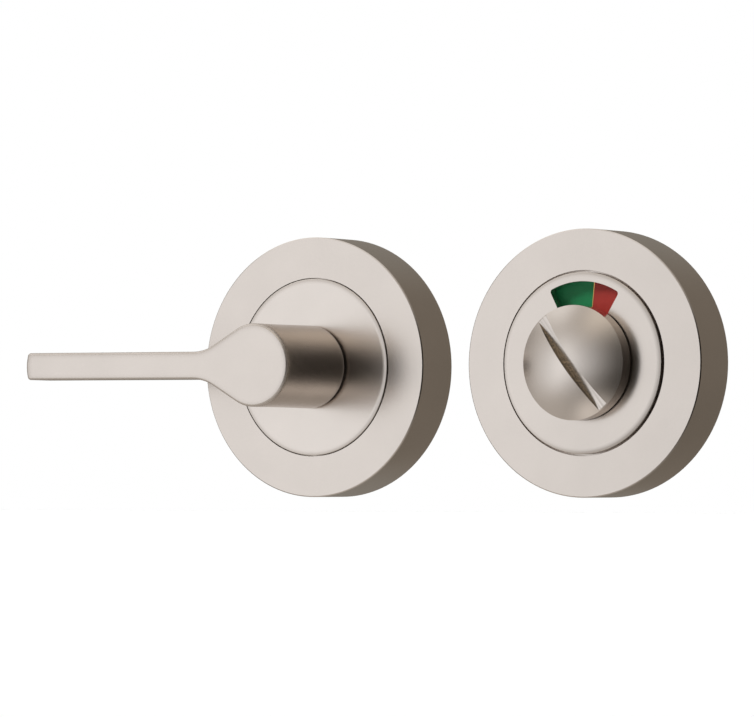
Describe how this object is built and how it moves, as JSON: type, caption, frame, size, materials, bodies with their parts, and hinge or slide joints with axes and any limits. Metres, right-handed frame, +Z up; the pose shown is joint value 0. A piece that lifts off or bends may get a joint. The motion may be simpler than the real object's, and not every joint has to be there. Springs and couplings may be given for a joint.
{
  "type": "bathroom thumb turn lock",
  "caption": "Bathroom privacy set: a lever thumb turn on a round rose with its spindle, beside a domed coin release on a matching rose with a green and red indicator window.",
  "frame": {"origin": "the turn half's axis on the door face", "axes": "+Y into the door, -Y to the front, +X from the turn half to the release half, +Z up"},
  "size_m": [0.144, 0.0663, 0.052],
  "materials": {
    "satin_nickel": "fine satin nickel plate on zinc",
    "zinc_casting": "bare zinc die casting",
    "nylon": "moulded, dark",
    "spring_steel": "blued spring steel",
    "plated_steel": "bright zinc plate",
    "brass": "bare, satin",
    "green_enamel": "enamel",
    "red_enamel": "enamel"
  },
  "bodies": {
    "roses": {"turn_mounting_plate": "zinc_casting", "turn_inner_rose": "satin_nickel", "turn_cover_ring": "satin_nickel", "turn_bush": "nylon", "release_mounting_plate": "zinc_casting", "release_inner_rose": "satin_nickel", "release_cover_ring": "satin_nickel", "release_bush": "nylon"},
    "turn": {"lever_turn": "satin_nickel", "turn_thrust_washer": "spring_steel", "turn_wave_spring": "spring_steel", "turn_circlip": "spring_steel", "spindle": "plated_steel", "spindle_pin": "spring_steel"},
    "release": {"coin_release": "satin_nickel", "indicator_disc": "brass", "indicator_green": "green_enamel", "indicator_red": "red_enamel", "release_thrust_washer": "spring_steel", "release_wave_spring": "spring_steel", "release_circlip": "spring_steel"}
  },
  "joints": [
    {"name": "lever_turn_pivot", "type": "hinge", "parent": "roses", "child": "turn", "pos_m": [0, 0, 0], "axis": [0, -1, 0], "range_deg": [-89.6, 0.4]},
    {"name": "release_pivot", "type": "hinge", "parent": "roses", "child": "release", "pos_m": [0.0625, 0, 0], "axis": [0, -1, 0], "range_deg": [-38, 52]}
  ]
}
